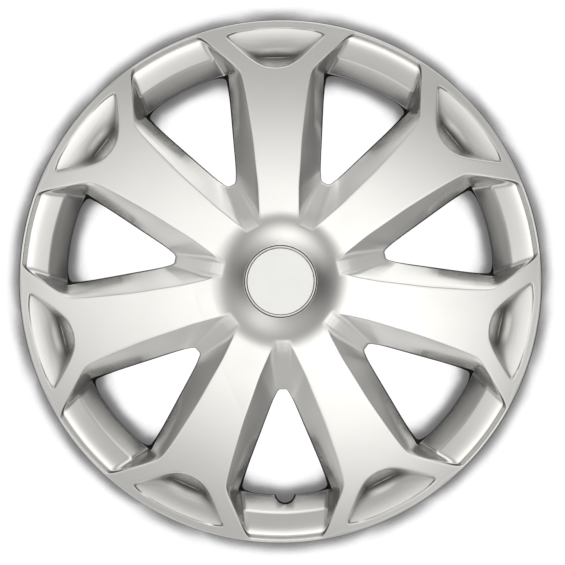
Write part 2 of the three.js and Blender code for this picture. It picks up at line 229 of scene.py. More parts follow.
# The rim and the hub's well as (radius, height), from the crown round to the back.
RIM_ROWS = [(201.5, 11.55), (202.05, 11.1), (202.4, 10.4), (202.5, 9.2), (202.5, 5), (202.5, 0.6),
            (202.3, 0.12), (201.9, 0), (200.4, 0), (198.7, 0), (198.4, 0.3), (198.3, 2.0),
            (198.9, 2.4), (199.6, 2.8), (199.7, 5.5)]
HUB_EDGE = 28.3
HUB_BACK = 30.4
HUB_ROWS = [(28.1, 48.5), (27.95, 48.56), (27.83, 48.46), (27.8, 48.2), (27.8, 44.5), (27.5, 44.2),
            (20.9, 44.2), (20.6, 43.9), (20.6, 36), (20.6, 28.9), (20.9, 28.6), (22.9, 28.6),
            (23.2, 28.9), (23.2, 40.9), (23.9, 41.6), (29.7, 41.6), (30.4, 42.3)]


def floor_height(across, outward):
    bowl = FLOOR_BOWL * math.exp(-max(outward - FLOOR_CREASE, 0) / BOWL_LENGTH)
    bowl *= math.exp(-(across / BOWL_WIDTH) ** 2)
    inward = FLOOR_LIP - outward
    return FLOOR_SHELF - FLOOR_SLOPE * inward - FLOOR_CURVE * inward ** 2 - bowl


def from_spoke(point):
    """A point seen along the spoke's axis, as seen along the window's axis beside it."""
    p, q = point
    return Vector((q * math.sin(HALF) - p * math.cos(HALF), q * math.cos(HALF) + p * math.sin(HALF)))


def on_floor(point):
    """A point of the pocket's floor, seen along the window's axis."""
    across = point[0] * math.cos(HALF) - point[1] * math.sin(HALF)
    outward = point[0] * math.sin(HALF) + point[1] * math.cos(HALF)
    return Vector((point[0], point[1], floor_height(across, outward)))


def on_crown(point, height=crown_height):
    return Vector((point[0], point[1], height(math.hypot(point[0], point[1]))))


def row_normals(row, middle):
    """Unit plan normals along a row, pointing away from the point `middle`."""
    normals = []
    for i in range(len(row)):
        along = row[min(i + 1, len(row) - 1)] - row[max(i - 1, 0)]
        normal = Vector((along.y, -along.x, 0)).normalized()
        if normal.dot(Vector((row[i].x - middle.x, row[i].y - middle.y, 0))) < 0:
            normal.negate()
        normals.append(normal)
    return normals


def settings(stations):
    return [s.reach for s in stations], [s.steps for s in stations]


def window_columns():
    """Dense columns of points up a window's wall: front nodes, then back nodes."""
    reaches, steps = settings(STATIONS)
    nodes = []
    for level, share in enumerate(SHARES):
        row = []
        for s in STATIONS:
            high = crown_height(s.top.length)
            low = max(hole_height(s.foot.length), high - DEEPEST.get(s.wall, CROWN_HEIGHT))
            plan = s.top.lerp(s.foot, share)
            row.append(Vector((*plan, high + (low - high) * DEPTHS[s.wall][level])))
        nodes.append(rounded(row, reaches, steps))
    land = rounded([Vector((s.land, 0, 0)) for s in STATIONS], reaches, steps)
    lean = rounded([Vector((LEAN[s.wall], 0, 0)) for s in STATIONS], reaches, steps)
    band = rounded([Vector((float(s.wall == "band"), 0, 0)) for s in STATIONS], reaches, steps)
    middle = Vector((0, WINDOW_MIDDLE, 0))
    away = [row_normals(row, middle) for row in nodes]
    mirror = Vector((0, 1, 0))
    for normals in away:
        normals[0] = -mirror
        normals[-1] = mirror.copy()
    columns = []
    for c in range(len(nodes[0])):
        foot = nodes[0][c]
        top = nodes[-1][c]
        low = foot - away[0][c] * land[c].x - Vector((0, 0, WALL))
        edge = top + away[-1][c] * (CROWN_EDGE_WIDTH + (BAND_EDGE_WIDTH - CROWN_EDGE_WIDTH) * band[c].x)
        front = [low] + [row[c] for row in nodes] + [on_crown(edge)]
        reach = [0]
        for side, flat in zip(LEVEL_REACH["side"], LEVEL_REACH["band"]):
            reach.append(side + (flat - side) * band[c].x)
        front_row = rounded(front, reach + [0], (0,) + LEVEL_STEPS + (0,))
        back = [low]
        for level in BACK_LEVELS:
            tilt = lean[c].x
            drop = WALL * math.sqrt(1 - tilt * tilt)
            point = nodes[level][c] + away[level][c] * WALL * tilt
            back.append(point - Vector((0, 0, max(drop, WALL if level == 0 else 0))))
        shift = WALL * (BACK_SHIFT + (BAND_BACK_SHIFT - BACK_SHIFT) * band[c].x)
        behind = top + away[-1][c] * shift
        radius = math.hypot(behind.x, behind.y)
        if radius > WINDOW_BACK_END:
            behind *= WINDOW_BACK_END / radius
        height = under_crown(min(radius, WINDOW_BACK_END))
        height -= BAND_BACK_DROP * band[c].x
        back.append(Vector((behind.x, behind.y, height)))
        back_row = rounded(back, BACK_REACH, BACK_STEPS)
        columns.append((front_row, back_row))
    return columns


def pocket_columns():
    """Dense columns of points from a pocket's edge down to its spine: front nodes, back nodes."""
    shared = STATIONS[FIRST_ON_POCKET:LIP_CORNER + 1]
    reaches = [s.reach for s in shared[:-1]] + [POCKET_TIP_REACH] + list(POCKET_REACH)
    steps = [s.steps for s in shared] + list(POCKET_STEPS)
    edge_row = [on_crown(from_spoke(edge)) for edge, floor, spine in POCKET]
    floor_row = [on_floor(from_spoke(floor)) for edge, floor, spine in POCKET]
    spine_row = [on_floor(from_spoke((0, q))) for edge, floor, q in POCKET]
    rows = [rounded(row, reaches, steps) for row in (edge_row, floor_row, spine_row)]
    middle = Vector((*from_spoke((0, POCKET_MIDDLE)), 0))
    axis = Vector((math.sin(HALF), math.cos(HALF), 0))
    away = [row_normals(row, middle) for row in rows[:2]]
    for normals in away:
        normals[0] = -axis
        normals[-1] = axis.copy()
    columns = []
    for c, (edge, floor, spine) in enumerate(zip(*rows)):
        rim = on_crown(edge + away[0][c] * CROWN_EDGE_WIDTH)
        floor = on_floor(floor)
        shelf = [on_floor(floor.lerp(spine, k / POCKET_ROWS)) for k in range(1, POCKET_ROWS + 1)]
        below = edge.lerp(floor, POCKET_EDGE_SHARE)
        below.z -= POCKET_EDGE_DROP * (edge.z - floor.z)
        front = rounded([rim, edge, below, floor, shelf[0]], POCKET_WALL_REACH, POCKET_WALL_STEPS)
        front += shelf[1:]
        far = edge + away[0][c] * WALL
        radius = math.hypot(far.x, far.y)
        if radius > POCKET_BACK_END:
            far *= POCKET_BACK_END / radius
        behind = Vector((far.x, far.y, under_crown(math.hypot(far.x, far.y))))
        under = floor + away[1][c] * WALL * POCKET_BACK_SHARE - Vector((0, 0, WALL))
        under.z = min(under.z, behind.z - POCKET_BACK_DROP)
        down = shelf[-1] - Vector((0, 0, WALL))
        back = rounded([behind, under, down], POCKET_BACK_REACH, POCKET_BACK_STEPS)
        columns.append((front, back))
    return columns


# ---- The face, built as half a sector and repeated --------------------------------------------
PAINT, RAW = 0, 1


class Sheet:
    """Vertices and faces of half a sector, with a material number for each face."""

    def __init__(self):
        self.points = []
        self.faces = []
        self.looks = []

    def grid(self, columns, look, first_row_look=None):
        """Skins columns that all have the same number of points."""
        start = len(self.points)
        tall = len(columns[0])
        for column in columns:
            self.points.extend(column)
        for c in range(len(columns) - 1):
            for r in range(tall - 1):
                a = start + c * tall + r
                self.faces.append((a, a + tall, a + tall + 1, a + 1))
                raw_edge = r == 0 and first_row_look is not None
                self.looks.append(first_row_look if raw_edge else look)


def crown_ends(pocket_start):
    """Where the columns over the crown end: on the hub's edge, then along the spoke's axis."""
    kept = STATIONS[:FIRST_ON_POCKET + 1]
    row = []
    for station in kept:
        place, value = station.out
        angle = HALF * value if place == "hub" else HALF
        radius = {"hub": HUB_EDGE, "spoke": value, "pocket": pocket_start.xy.length}[place]
        row.append(Vector((radius * math.sin(angle), radius * math.cos(angle), 0)))
    dense = rounded(row, *settings(kept))
    on_hub = len(rounded(row[:LAST_ON_HUB + 1], *settings(kept[:LAST_ON_HUB + 1])))
    for point in dense[:on_hub]:
        point *= HUB_EDGE / point.length
    return dense, on_hub


def stretch(start, end, height):
    """Points over (or under) the crown from start to end, without the start."""
    between = [on_crown(start.lerp(end, k / CROWN_ROWS), height) for k in range(1, CROWN_ROWS)]
    return between + [end]


def rim_column(start, end):
    """From the crown's outer rows over the rolled edge, down the skirt and back in under the seat."""
    angle = math.atan2(start.x, start.y)
    radius = math.hypot(start.x, start.y)
    profile = []
    for k in (1, 2):
        between = radius + (RIM_ROWS[0][0] - radius) * k / 3
        profile.append((between, crown_height(between)))
    column = [start]
    for r, h in profile + RIM_ROWS:
        column.append(Vector((r * math.sin(angle), r * math.cos(angle), h)))
    return column + [end]


def hub_column(start, end):
    """From the hub's edge down its well, along the ledge and round the tube under it."""
    way = Vector((start.x, start.y, 0)).normalized()
    return [start] + [way * r + Vector((0, 0, h)) for r, h in HUB_ROWS] + [end]


def half_sector():
    windows = window_columns()
    pockets = pocket_columns()
    ends, on_hub = crown_ends(pockets[0][0][0])
    first_pocket = len(ends) - 1
    # The columns over the crown stop at the middle of the lip's corner, on the pocket's tip.
    tip_settings = settings(STATIONS[FIRST_ON_POCKET:LIP_CORNER + 2])
    tip_rows = rounded([Vector((i, 0, 0)) for i in range(len(tip_settings[0]))], *tip_settings)
    lip = LIP_CORNER - FIRST_ON_POCKET
    tip = next(i for i, v in enumerate(tip_rows) if abs(v.x - lip) < 0.001)
    last = first_pocket + tip

    fronts, backs, hub = [], [], []
    for c in range(last + 1):
        front, back = windows[c]
        if c < first_pocket:
            end = on_crown(ends[c])
            under = on_crown(ends[c] * (HUB_BACK / HUB_EDGE) if c < on_hub else ends[c], under_crown)
        else:
            end = pockets[c - first_pocket][0][0]
            under = pockets[c - first_pocket][1][0]
        fronts.append(front + stretch(front[-1], end, crown_height))
        backs.append(back + stretch(back[-1], under, under_crown))
        if c < on_hub:
            hub.append(hub_column(end, under))

    tall, deep = len(windows[0][0]), len(windows[0][1])
    band = windows[last:][::-1]
    rim_starts = [w[0][-1] for w in band] + fronts[last][tall:] + [p[0][0] for p in pockets[tip + 1:]]
    rim_ends = [w[1][-1] for w in band] + backs[last][deep:] + [p[1][0] for p in pockets[tip + 1:]]

    sheet = Sheet()
    sheet.grid(fronts, PAINT, RAW)
    sheet.grid([w[0] for w in windows[last:]], PAINT, RAW)
    sheet.grid([p[0] for p in pockets], PAINT)
    sheet.grid([rim_column(a, b) for a, b in zip(rim_starts, rim_ends)], PAINT)
    sheet.grid(hub, PAINT)
    sheet.grid(backs, RAW)
    sheet.grid([w[1] for w in windows[last:]], RAW)
    sheet.grid([p[1] for p in pockets], RAW)
    return sheet


def to_frame(point):
    """From millimetres, height up, to the frame: metres, with the face looking along -Y."""
    x, y, height = point
    return Vector((x, -height, y)) / 1000


def whole_face():
    sheet = half_sector()
    mesh = bmesh.new()
    for k in range(SPOKES):
        turn = SPOKE_UP + HALF + k * SECTOR
        cos, sin = math.cos(turn), math.sin(turn)
        for side in (1, -1):
            corners = []
            for across, outward, height in sheet.points:
                x = outward * cos + side * across * sin
                y = outward * sin - side * across * cos
                corners.append(mesh.verts.new(to_frame((x, y, height))))
            for face, look in zip(sheet.faces, sheet.looks):
                made = mesh.faces.new([corners[i] for i in face])
                made.material_index = look
                made.smooth = True
    bmesh.ops.remove_doubles(mesh, verts=mesh.verts, dist=2e-6)
    bmesh.ops.recalc_face_normals(mesh, faces=mesh.faces)
    return mesh


# ---- Fingers, clips, wire ring and cap --------------------------------------------------------
FINGER_TURN = math.radians(8.5)
FINGER_ANGLES = [SPOKE_UP + k * SECTOR + side * FINGER_TURN for k in range(SPOKES) for side in (-1, 1)]
FINGER_INSIDE = 171.4
FINGER_OUTSIDE = 182.6
# A finger's layers across its width, as (place, shift along the outline's own normals).
FINGER_LAYERS = [(-6, -0.35), (-5.65, 0), (-3.4, 0), (-1.1, 0),
                 (1.1, 0), (3.4, 0), (5.65, 0), (6, -0.35)]
TIP_ROUNDING = 0.5
HEEL_ROUNDING = 2
ROOT_STEPS = 6
ROOT_START = -6
ROOT_DEPTH = 1.1
RING_RADIUS = 176
RING_HEIGHT = -12
WIRE_RADIUS = 1.8
WIRE_SEAT = 2.1
WIRE_MOUTH = 1.75
SEAT_STEPS = 14
WIRE_GAP = 1.0
WIRE_STEPS = 300
WIRE_SIDES = 20
SLEEVE_SIDES = 40
SLEEVE_ANGLE = SPOKE_UP + HALF
CLIP_LINE = [(173.3, -15.8), (173.3, -20.3), (173.8, -20.75), (180.2, -20.75), (181.6, -20),
             (186.4, -14.4), (186.9, -12.8), (186.3, -11.4), (183.8, -8.4)]
CLIP_THICK = 0.7
CLIP_BEND = 1.6
CLIP_HALF_WIDTH = 5
CLIP_END_CUT = 1.4
CLIP_END_LENGTH = 2.2
CLIP_LAYERS = [(-1, 0.62), (-0.975, 1), (-0.5, 1), (0, 1), (0.5, 1), (0.975, 1), (1, 0.62)]
# Sleeve outline: place along the wire and distance from its centre line, with two crimps.
SLEEVE_PROFILE = [(-11, 2.4), (-10.8, 2.95), (-10.3, 3.2), (-8.2, 3.2), (-7.4, 3.05), (-6.5, 2.85),
                  (-5.6, 2.85), (-4.7, 3.05), (-3.9, 3.2), (3.9, 3.2), (4.7, 3.05), (5.6, 2.85),
                  (6.5, 2.85), (7.4, 3.05), (8.2, 3.2), (10.3, 3.2), (10.8, 2.95), (11, 2.4),
                  (10.8, 2.1), (7, 2.1), (0, 2.1), (-7, 2.1), (-10.8, 2.1)]
# Cap outlines as (radius, height). The raised ring round the badge has a rounded top.
CAP_PROFILE = [(0, 44.5), (27.2, 44.5), (27.5, 44.8), (27.5, 47.6), (27.2, 48.2), (26.6, 48.45),
               (26.1, 48.3), (25.65, 47.9), (25.6, 47.4), (25.6, 46), (25.4, 45.9), (0, 45.9)]
BADGE_PROFILE = [(0, 46.9), (25, 46.9), (25.3, 47.1), (25.3, 47.8), (25.15, 48.03), (24.9, 48.1),
                 (16, 48.1), (8, 48.1), (0, 48.1)]
TAPE_PROFILE = [(0, 46), (22.8, 46), (23, 46.1), (23, 46.5), (22.8, 46.6), (0, 46.6)]
LEG_PROFILE = [(18.2, 31.5), (19.9, 31.5), (20.3, 32.2), (20.3, 45), (17.9, 45), (17.9, 31.9)]
COLLAR_PROFILE = [(17.9, 42.5), (20.3, 42.5), (20.3, 45), (17.9, 45)]
LEGS = 4
LEG_HALF_SLOT = 3.5
LEG_STEPS = 16
TURN_STEPS = 128
# The notch for the wheel's valve. Its rod is narrower inboard, by NOTCH_TAPER for each millimetre.
NOTCH_RADIUS = 9.8
NOTCH_AT = 162.6
NOTCH_TAPER = 0.3
NOTCH_REACH = 16
NOTCH_STEPS = 96


def soften(outline, radius, steps):
    """Rounds the corners of a row of points, starting up to `radius` away from each corner."""
    points = [Vector(point) for point in outline]
    row = []
    for i, corner in enumerate(points):
        if i in (0, len(points) - 1):
            row.append(corner)
            continue
        before = points[i - 1] - corner
        after = points[i + 1] - corner
        start = corner + before * (min(radius, before.length * 0.45) / before.length)
        end = corner + after * (min(radius, after.length * 0.45) / after.length)
        for k in range(steps + 1):
            t = k / steps
            row.append(start.lerp(corner, t).lerp(corner.lerp(end, t), t))
    return row


def side_normals(row):
    """Unit normals of a flat row of points, to the right of its direction."""
    normals = []
    for i in range(len(row)):
        along = (row[min(i + 1, len(row) - 1)] - row[max(i - 1, 0)]).normalized()
        normals.append(Vector((along.y, -along.x)))
    return normals


def skin(mesh, rings, look=0, closed=False):
    """Joins rings of vertices with faces. A ring may be one vertex repeated, at a pole."""
    pairs = list(zip(rings, rings[1:]))
    if closed:
        pairs.append((rings[-1], rings[0]))
    for first, second in pairs:
        for i in range(len(first)):
            j = (i + 1) % len(first)
            corners = list(dict.fromkeys((first[i], first[j], second[j], second[i])))
            if len(corners) > 2:
                made = mesh.faces.new(corners)
                made.smooth = True
                made.material_index = look


def at_angle(radius, turn, height):
    """A point at a radius and an angle round the cover's axis."""
    return to_frame((radius * math.cos(turn), radius * math.sin(turn), height))


def turned(mesh, profile, look=0):
    """Turns (radius, height) points about the axis: a loop, or a row that starts and ends on it."""
    rings = []
    for radius, height in profile:
        if radius < 0.001:
            rings.append([mesh.verts.new(to_frame((0, 0, height)))] * TURN_STEPS)
            continue
        ring = []
        for i in range(TURN_STEPS):
            turn = 2 * math.pi * i / TURN_STEPS
            ring.append(mesh.verts.new(at_angle(radius, turn, height)))
        rings.append(ring)
    skin(mesh, rings, look, closed=profile[0][0] > 0.001)


def part_turned(mesh, profile, ends, steps, look=0):
    """Turns a loop through part of a circle. `ends(radius)` gives its first and last angle."""
    rings = []
    for k in range(steps + 1):
        ring = []
        for radius, height in profile:
            start, stop = ends(radius)
            turn = start + (stop - start) * k / steps
            ring.append(mesh.verts.new(at_angle(radius, turn, height)))
        rings.append(ring)
    skin(mesh, rings, look)
    for ring in (rings[0], rings[-1]):
        mesh.faces.new(ring).material_index = look


def along_wire(mesh, profile, sides):
    """Turns (along, distance) points about the wire's centre line, which is a circle."""
    rings = []
    for along, distance in profile:
        angle = SLEEVE_ANGLE + along / RING_RADIUS
        ring = []
        for i in range(sides):
            turn = 2 * math.pi * i / sides
            radius = RING_RADIUS + distance * math.cos(turn)
            height = RING_HEIGHT + distance * math.sin(turn)
            ring.append(mesh.verts.new(at_angle(radius, angle, height)))
            if distance < 0.001:
                ring = ring * sides
                break
        rings.append(ring)
    skin(mesh, rings, closed=profile[0][1] > 0.001)


def across_spoke(angle, radius, across, height):
    """A point at a radius along the line at `angle`, moved sideways from it."""
    cos, sin = math.cos(angle), math.sin(angle)
    return to_frame((radius * cos - across * sin, radius * sin + across * cos, height))


def closed_up(mesh):
    """Turns the faces of a closed mesh to point outward."""
    bmesh.ops.recalc_face_normals(mesh, faces=mesh.faces)
    return mesh


def finger_outline():
    """Section of a finger below its root, from the outer face round the tip to the inner face."""
    start = math.pi - math.asin(WIRE_MOUTH / WIRE_SEAT)
    seat = []
    for k in range(SEAT_STEPS + 1):
        turn = -start + 2 * start * k / SEAT_STEPS
        away = Vector((math.cos(turn), math.sin(turn))) * WIRE_SEAT
        seat.append(Vector((RING_RADIUS, RING_HEIGHT)) + away)
    outer = [(FINGER_OUTSIDE, 4), (180.8, -2), (179.2, -19.4), (178.6, -20), (174.6, -20), (174, -19.4),
             (174, -15.4), (172.6, -15.2), (172.6, RING_HEIGHT - WIRE_MOUTH)]
    inner = [(172.6, RING_HEIGHT + WIRE_MOUTH), (172.6, -4), (FINGER_INSIDE, 2)]
    return soften(outer, TIP_ROUNDING, 2) + seat + soften(inner, HEEL_ROUNDING, 3)


def add_fingers(mesh):
    """Adds the fingers to the face. Their roots follow the back of the face and end inside it."""
    tree = BVHTree.FromBMesh(mesh)
    outline = finger_outline()
    normals = side_normals(outline)
    for angle in FINGER_ANGLES:
        rings = []
        for across, shift in FINGER_LAYERS:
            ring = []
            for point, normal in zip(outline, normals):
                place = point + normal * shift
                ring.append(mesh.verts.new(across_spoke(angle, place.x, across, place.y)))
            for k in range(ROOT_STEPS + 1):
                radius = FINGER_INSIDE - shift
                radius += (FINGER_OUTSIDE - FINGER_INSIDE + 2 * shift) * k / ROOT_STEPS
                start = across_spoke(angle, radius, across, ROOT_START)
                hit = tree.ray_cast(start, Vector((0, -1, 0)))[0]
                ring.append(mesh.verts.new(hit + Vector((0, -ROOT_DEPTH / 1000, 0))))
            rings.append(ring)
        skin(mesh, rings, RAW)
        for ring in (rings[0], rings[-1]):
            mesh.faces.new(ring).material_index = RAW
    closed_up(mesh)


def clip_shape(angle):
    """A strip bent over a fingertip. Its layers run across the width; the leaf's end is narrower."""
    mesh = bmesh.new()
    line = soften(CLIP_LINE, CLIP_BEND, 5)
    normals = side_normals(line)
    rings = []
    for share, thick in CLIP_LAYERS:
        ring = []
        for side in (1, -1):
            order = range(len(line)) if side > 0 else range(len(line) - 1, -1, -1)
            for i in order:
                left = (line[-1] - line[i]).length
                width = CLIP_HALF_WIDTH - CLIP_END_CUT * max(1 - left / CLIP_END_LENGTH, 0) ** 2
                place = line[i] + normals[i] * (side * thick * CLIP_THICK / 2)
                ring.append(mesh.verts.new(across_spoke(angle, place.x, share * width, place.y)))
        rings.append(ring)
    skin(mesh, rings)
    count = len(line)
    for ring in (rings[0], rings[-1]):
        for i in range(count - 1):
            mesh.faces.new((ring[i], ring[i + 1], ring[2 * count - 2 - i], ring[2 * count - 1 - i]))
    return closed_up(mesh)


def wire_shape():
    mesh = bmesh.new()
    start = WIRE_GAP / 2
    length = 2 * math.pi * RING_RADIUS - WIRE_GAP
    end = [(0, 0), (0, 1.2), (0.15, 1.6), (0.5, WIRE_RADIUS)]
    middle = [(length * k / WIRE_STEPS, WIRE_RADIUS) for k in range(1, WIRE_STEPS)]
    far = [(length - along, distance) for along, distance in reversed(end)]
    profile = [(start + along, distance) for along, distance in end + middle + far]
    along_wire(mesh, profile, WIRE_SIDES)
    return closed_up(mesh)


def sleeve_shape():
    mesh = bmesh.new()
    along_wire(mesh, SLEEVE_PROFILE, SLEEVE_SIDES)
    return closed_up(mesh)


def disc_shape(profile):
    mesh = bmesh.new()
    turned(mesh, profile)
    return closed_up(mesh)


def cap_shape():
    """Plate with a raised ring, and under it a collar with four legs, slotted apart."""
    mesh = bmesh.new()
    turned(mesh, CAP_PROFILE)
    turned(mesh, COLLAR_PROFILE, RAW)
    for k in range(LEGS):
        middle = 2 * math.pi * k / LEGS

        def ends(radius):
            half = math.pi / LEGS - math.asin(LEG_HALF_SLOT / radius)
            return middle - half, middle + half

        part_turned(mesh, LEG_PROFILE, ends, LEG_STEPS, RAW)
    return closed_up(mesh)


# ---- Materials --------------------------------------------------------------------------------
# How far the painted crevice shade looks for nearby surfaces, and with how many samples.
CREVICE_SHADE_REACH = 0.012
CREVICE_SHADE_SAMPLES = 12
# The painted shade in a crevice, as (how open the place is, share of the paint's colour).
CREVICE_PAINTED_SHADE_TONES = [(0.3, 0.3), (0.5, 0.6), (0.7, 0.92), (0.82, 1)]


class Look:
    """A Principled material with helpers for the nodes that shape it."""

    def __init__(self, name, colour, roughness, metallic=0.0):
        self.material = bpy.data.materials.new(name)
        self.material.use_nodes = True
        self.tree = self.material.node_tree
        self.shader = self.tree.nodes["Principled BSDF"]
        self.colour = colour
        self.set("Base Color", (*colour, 1))
        self.set("Roughness", roughness)
        self.set("Metallic", metallic)
        self.place = self.tree.nodes.new("ShaderNodeTexCoord")

    def set(self, socket, value):
        self.shader.inputs[socket].default_value = value

    def noise(self, scale, detail=2.0, stretch=(1, 1, 1)):
        """A noise texture in object space. Scale is in cells to the metre."""
        mapping = self.tree.nodes.new("ShaderNodeMapping")
        mapping.inputs["Scale"].default_value = stretch
        noise = self.tree.nodes.new("ShaderNodeTexNoise")
        noise.inputs["Scale"].default_value = scale
        noise.inputs["Detail"].default_value = detail
        self.tree.links.new(self.place.outputs["Object"], mapping.inputs["Vector"])
        self.tree.links.new(mapping.outputs["Vector"], noise.inputs["Vector"])
        return noise.outputs["Fac"]

    def spread(self, value, low, high):
        """Maps the middle of a noise's range onto low to high."""
        remap = self.tree.nodes.new("ShaderNodeMapRange")
        remap.inputs["From Min"].default_value = 0.3
        remap.inputs["From Max"].default_value = 0.7
        remap.inputs["To Min"].default_value = low
        remap.inputs["To Max"].default_value = high
        self.tree.links.new(value, remap.inputs["Value"])
        return remap.outputs["Result"]

    def vary_colour(self, value, dark, light):
        """Scales the base colour between dark and light as the value varies."""
        mix = self.tree.nodes.new("ShaderNodeMix")
        mix.data_type = "RGBA"
        mix.inputs["A"].default_value = (*[c * dark for c in self.colour], 1)
        mix.inputs["B"].default_value = (*[min(c * light, 1) for c in self.colour], 1)
        self.tree.links.new(self.spread(value, 0, 1), mix.inputs["Factor"])
        self.tree.links.new(mix.outputs["Result"], self.shader.inputs["Base Color"])

    def paint_crevice_shade(self, reach, tones):
        """Painted shade: scales the colour down where other surfaces stand closer than `reach` metres.
        """
        near = self.tree.nodes.new("ShaderNodeAmbientOcclusion")
        near.samples = CREVICE_SHADE_SAMPLES
        near.inputs["Distance"].default_value = reach
        tone = self.tree.nodes.new("ShaderNodeValToRGB")
        stops = tone.color_ramp.elements
        for stop, (position, grey) in zip(stops, (tones[0], tones[-1])):
            stop.position = position
            stop.color = (grey, grey, grey, 1)
        for position, grey in tones[1:-1]:
            stops.new(position).color = (grey, grey, grey, 1)
        mix = self.tree.nodes.new("ShaderNodeMix")
        mix.data_type = "RGBA"
        mix.blend_type = "MULTIPLY"
        mix.inputs["Factor"].default_value = 1
        base = self.shader.inputs["Base Color"].links[0].from_socket
        self.tree.links.new(near.outputs["AO"], tone.inputs["Fac"])
        self.tree.links.new(base, mix.inputs["A"])
        self.tree.links.new(tone.outputs["Color"], mix.inputs["B"])
        self.tree.links.new(mix.outputs["Result"], self.shader.inputs["Base Color"])

    def vary_roughness(self, value, low, high):
        self.tree.links.new(self.spread(value, low, high), self.shader.inputs["Roughness"])

    def bump(self, value, height, strength=1.0):
        """Height is how far, in metres, the surface moves over the value's full range."""
        bump = self.tree.nodes.new("ShaderNodeBump")
        bump.inputs["Distance"].default_value = height
        bump.inputs["Strength"].default_value = strength
        self.tree.links.new(value, bump.inputs["Height"])
        self.tree.links.new(bump.outputs["Normal"], self.shader.inputs["Normal"])


def silver_paint():
    look = Look("silver_paint", (0.617, 0.607, 0.588), 0.24, 0.95)
    look.set("Coat Weight", 0.5)
    look.set("Coat Roughness", 0.08)
    look.vary_colour(look.noise(2600, 1), 0.97, 1.03)
    # Painted shade: the paint goes darker in tight crevices, where shade would fall.
    look.paint_crevice_shade(CREVICE_SHADE_REACH, CREVICE_PAINTED_SHADE_TONES)
    look.vary_roughness(look.noise(35, 3), 0.23, 0.27)
    look.bump(look.noise(900, 2), 0.00001, 0.25)
    return look.material


def raw_plastic():
    look = Look("raw_plastic", (0.009, 0.009, 0.01), 0.6)
    look.set("Specular IOR Level", 0.15)
    look.vary_colour(look.noise(60, 4), 0.85, 1.2)
    look.vary_roughness(look.noise(300, 3), 0.5, 0.68)
    look.bump(look.noise(1500, 3), 0.00004, 0.5)
    return look.material


def spring_steel():
    look = Look("spring_steel", (0.34, 0.345, 0.35), 0.3, 1.0)
    look.vary_colour(look.noise(120, 4), 0.8, 1.1)
    look.vary_roughness(look.noise(400, 3, (1, 1, 8)), 0.24, 0.4)
    look.bump(look.noise(1800, 2, (1, 1, 10)), 0.00001, 0.4)
    return look.material


def zinc_wire():
    look = Look("zinc_wire", (0.55, 0.56, 0.57), 0.35, 1.0)
    look.vary_colour(look.noise(200, 4), 0.82, 1.06)
    look.vary_roughness(look.noise(500, 3), 0.28, 0.48)
    look.bump(look.noise(2600, 2), 0.000012, 0.5)
    return look.material


def pale_plate():
    look = Look("badge_plate", (0.93, 0.925, 0.91), 0.3, 0.2)
    look.vary_colour(look.noise(30, 2), 0.985, 1.01)
    look.vary_roughness(look.noise(90, 2), 0.36, 0.4)
    return look.material


def black_tape():
    look = Look("black_tape", (0.03, 0.03, 0.03), 0.9)
    look.vary_colour(look.noise(1400, 4), 0.6, 1.6)
    look.vary_roughness(look.noise(700, 2), 0.8, 0.98)
    look.bump(look.noise(2400, 3), 0.00005, 0.8)
    return look.material


PAINTED = silver_paint()
MOULDED = raw_plastic()
STEEL = spring_steel()
ZINC = zinc_wire()
PLATE = pale_plate()
TAPE = black_tape()


# ---- Pieces -----------------------------------------------------------------------------------
def weigh_normals(mesh):
    """Vertex normals weighted by face area, so broad faces stay calm beside their small roundings."""
    normals = [Vector() for _ in mesh.vertices]
    for polygon in mesh.polygons:
        pull = polygon.normal * polygon.area
        for i in polygon.vertices:
            normals[i] += pull
    return [normal.normalized() for normal in normals]


def crown_normal(place):
    """The crown's own normal at a vertex that lies on it, or None."""
    radius = math.hypot(place.x, place.z) * 1000
    if not HUB_EDGE + 0.3 < radius < CROWN_EDGE:
        return None
    if abs(-place.y * 1000 - crown_height(radius)) > ON_CROWN:
        return None
    tilt = crown_slope(radius) * 1000 / radius
    return Vector((place.x * tilt, -1, place.z * tilt)).normalized()


def add_piece(name, shape, materials, body, true_normal=None):
    mesh = bpy.data.meshes.new(name)
    shape.to_mesh(mesh)
    shape.free()
    for material in materials:
        mesh.materials.append(material)
    normals = weigh_normals(mesh)
    if true_normal:
        normals = [true_normal(vertex.co) or normal for vertex, normal in zip(mesh.vertices, normals)]
    mesh.normals_split_custom_set_from_vertices(normals)
    piece = bpy.data.objects.new(name, mesh)
    bpy.context.scene.collection.objects.link(piece)
    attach(piece, body)
    return piece


def stand_in(name, shape):
    """An object that holds a shape only while it is being cut."""
    mesh = bpy.data.meshes.new(name)
    shape.to_mesh(mesh)
    for material in (PAINTED, MOULDED):
        mesh.materials.append(material)
    thing = bpy.data.objects.new(name, mesh)
    bpy.context.scene.collection.objects.link(thing)
    return thing


def cut_notch(shape):
    """Cuts the round notch for the wheel's valve into the edge of the bottom window."""
    rod = bmesh.new()
    rings = []
    for height in (-NOTCH_REACH, NOTCH_REACH):
        radius = NOTCH_RADIUS + NOTCH_TAPER * height
        ring = []
        for i in range(NOTCH_STEPS):
            turn = 2 * math.pi * i / NOTCH_STEPS
            across = radius * math.cos(turn)
            up = radius * math.sin(turn) - NOTCH_AT
            ring.append(rod.verts.new(to_frame((across, up, height))))
        rings.append(ring)
    skin(rod, rings, RAW)
    for ring in rings:
        rod.faces.new(ring).material_index = RAW
    closed_up(rod)
    uncut = stand_in("uncut", shape)
    tool = stand_in("rod", rod)
    rod.free()
    cut = uncut.modifiers.new("notch", "BOOLEAN")
    cut.operation = "DIFFERENCE"
    cut.object = tool
    bpy.context.view_layer.update()
    result = uncut.evaluated_get(bpy.context.evaluated_depsgraph_get()).to_mesh()
    shape.clear()
    shape.from_mesh(result)
    for thing in (uncut, tool):
        bpy.data.objects.remove(thing)


def add_face():
    shape = whole_face()
    cut_notch(shape)
    add_fingers(shape)
    shell = add_piece("cover_shell", shape, [PAINTED, MOULDED], "cover", crown_normal)
    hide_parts("cover_face")


